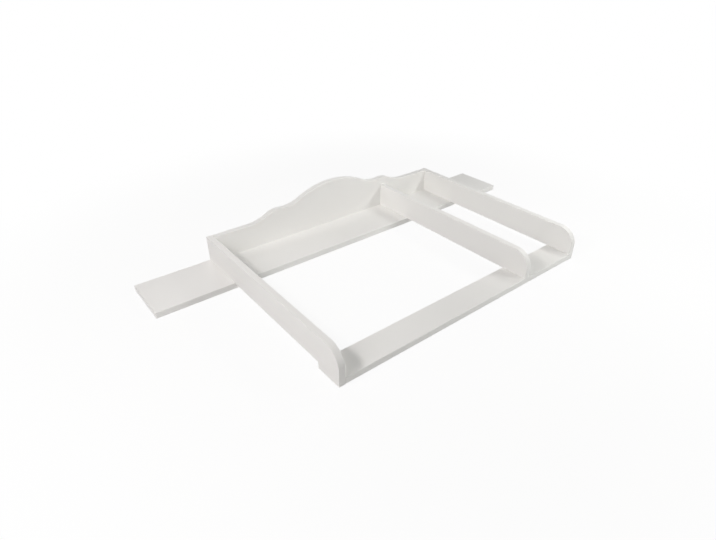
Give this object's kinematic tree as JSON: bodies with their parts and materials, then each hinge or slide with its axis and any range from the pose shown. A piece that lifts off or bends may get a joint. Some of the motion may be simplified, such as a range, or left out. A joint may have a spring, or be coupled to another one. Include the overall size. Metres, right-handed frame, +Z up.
{
  "type": "changing top",
  "caption": "White lacquered changing top for a wide chest of drawers: a low-walled open tray with a scalloped back panel and a side compartment, on a long winged rear plank.",
  "frame": {"origin": "middle of the underside: half-way along the rear plank, half-way between the tray's front and back, on the plane that the planks rest on", "axes": "+X along the rear plank, to the right as seen from the open front; +Y from the front plank to the back panel; +Z up"},
  "size_m": [1.6, 0.777, 0.196],
  "materials": {
    "white_lacquer": "satin white lacquer on board with eased edges",
    "zinc_steel": "bright zinc-plated steel",
    "cast_zinc": "dull die-cast zinc",
    "beech": "bare turned beech"
  },
  "bodies": {
    "root": {"rear_plank": "white_lacquer", "front_plank": "white_lacquer", "left_side_panel": "white_lacquer", "right_side_panel": "white_lacquer", "divider": "white_lacquer", "back_panel": "white_lacquer", "left_panel_screws": "zinc_steel", "right_panel_screws": "zinc_steel", "divider_rear_screws": "zinc_steel", "divider_front_screws": "zinc_steel", "back_panel_screws": "zinc_steel", "front_left_bolt": "zinc_steel", "front_right_bolt": "zinc_steel", "back_left_bolt": "zinc_steel", "back_right_bolt": "zinc_steel", "front_left_cam": "cast_zinc", "front_right_cam": "cast_zinc", "back_left_cam": "cast_zinc", "back_right_cam": "cast_zinc", "front_left_dowels": "beech", "front_right_dowels": "beech", "back_left_dowels": "beech", "back_right_dowels": "beech"}
  },
  "joints": []
}
